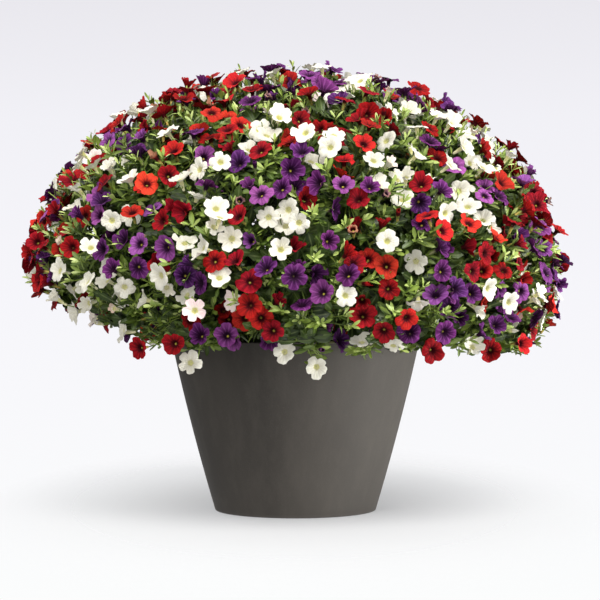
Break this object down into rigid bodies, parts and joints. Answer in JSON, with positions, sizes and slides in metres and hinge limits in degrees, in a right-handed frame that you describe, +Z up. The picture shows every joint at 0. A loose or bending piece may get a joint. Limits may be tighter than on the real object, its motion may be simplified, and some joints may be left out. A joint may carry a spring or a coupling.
{
  "type": "potted calibrachoa",
  "caption": "Potted calibrachoa: a dense trailing mound of small red, white and violet trumpet flowers over a plain round tapered patio pot.",
  "frame": {"origin": "centre of the pot's flat underside", "axes": "+Z up, +X to the side where the flowering skirt hangs fullest, -Y towards the viewer"},
  "size_m": [0.6567, 0.6516, 0.5429],
  "materials": {
    "pot": "matte",
    "potting_mix": "matte",
    "foliage": "satin",
    "petals_red": "matte",
    "petals_white": "matte",
    "petals_violet": "matte"
  },
  "bodies": {
    "root": {"leafy_spray_09": "foliage", "leafy_spray_18": "foliage", "leafy_spray_27": "foliage", "leafy_spray_36": "foliage", "leafy_spray_45": "foliage", "leafy_spray_54": "foliage", "pot": "pot", "red_spray_02": "petals_red", "red_spray_05": "petals_red", "red_spray_08": "petals_red", "red_spray_12": "petals_red", "red_spray_17": "petals_red", "red_spray_23": "petals_red", "red_spray_25": "petals_red", "red_spray_26": "petals_red", "red_spray_28": "petals_red", "red_spray_29": "petals_red", "red_spray_32": "petals_red", "red_spray_34": "petals_red", "red_spray_35": "petals_red", "red_spray_39": "petals_red", "red_spray_42": "petals_red", "red_spray_43": "petals_red", "red_spray_50": "petals_red", "red_spray_52": "petals_red", "soil": "potting_mix", "violet_spray_01": "petals_violet", "violet_spray_03": "petals_violet", "violet_spray_13": "petals_violet", "violet_spray_14": "petals_violet", "violet_spray_15": "petals_violet", "violet_spray_24": "petals_violet", "violet_spray_31": "petals_violet", "violet_spray_37": "petals_violet", "violet_spray_38": "petals_violet", "violet_spray_44": "petals_violet", "violet_spray_46": "petals_violet", "violet_spray_49": "petals_violet", "violet_spray_53": "petals_violet", "white_spray_04": "petals_white", "white_spray_06": "petals_white", "white_spray_07": "petals_white", "white_spray_10": "petals_white", "white_spray_11": "petals_white", "white_spray_16": "petals_white", "white_spray_19": "petals_white", "white_spray_20": "petals_white", "white_spray_21": "petals_white", "white_spray_22": "petals_white", "white_spray_30": "petals_white", "white_spray_33": "petals_white", "white_spray_40": "petals_white", "white_spray_41": "petals_white", "white_spray_47": "petals_white", "white_spray_48": "petals_white", "white_spray_51": "petals_white"}
  },
  "joints": []
}
